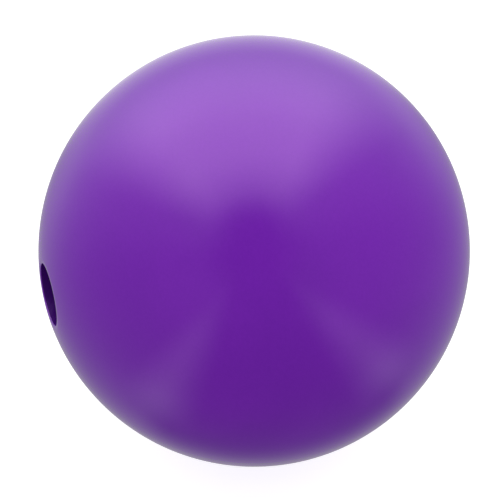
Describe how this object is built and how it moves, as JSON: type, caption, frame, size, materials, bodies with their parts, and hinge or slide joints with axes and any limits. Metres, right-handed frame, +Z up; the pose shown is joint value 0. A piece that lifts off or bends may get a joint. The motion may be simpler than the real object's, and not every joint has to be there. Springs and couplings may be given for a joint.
{
  "type": "bowling ball",
  "caption": "Glossy purple bowling ball with a filler core, pancake weight block and locator pin, drilled with a plain thumb hole and lined finger holes.",
  "frame": {"origin": "centre of the ball", "axes": "+Z up as the ball lies; the thumb hole is drilled in along the X axis from the -X side; the two finger holes lie above and below the XY plane towards +Y, and the locator pin lies in that plane midway between thumb and fingers"},
  "size_m": [0.2156, 0.217, 0.217],
  "materials": {
    "cover_polyester": "polished high-gloss purple polyester",
    "filler_resin": "cast mineral-filled resin, drilled surfaces matt",
    "block_resin": "cast dense resin, matt",
    "pin_resin": "cast ivory resin polished flush with the cover",
    "insert_vinyl": "soft satin black vinyl"
  },
  "bodies": {
    "root": {"coverstock": "cover_polyester", "filler_core": "filler_resin", "weight_block": "block_resin", "locator_pin": "pin_resin", "upper_finger_insert": "insert_vinyl", "lower_finger_insert": "insert_vinyl"}
  },
  "joints": []
}
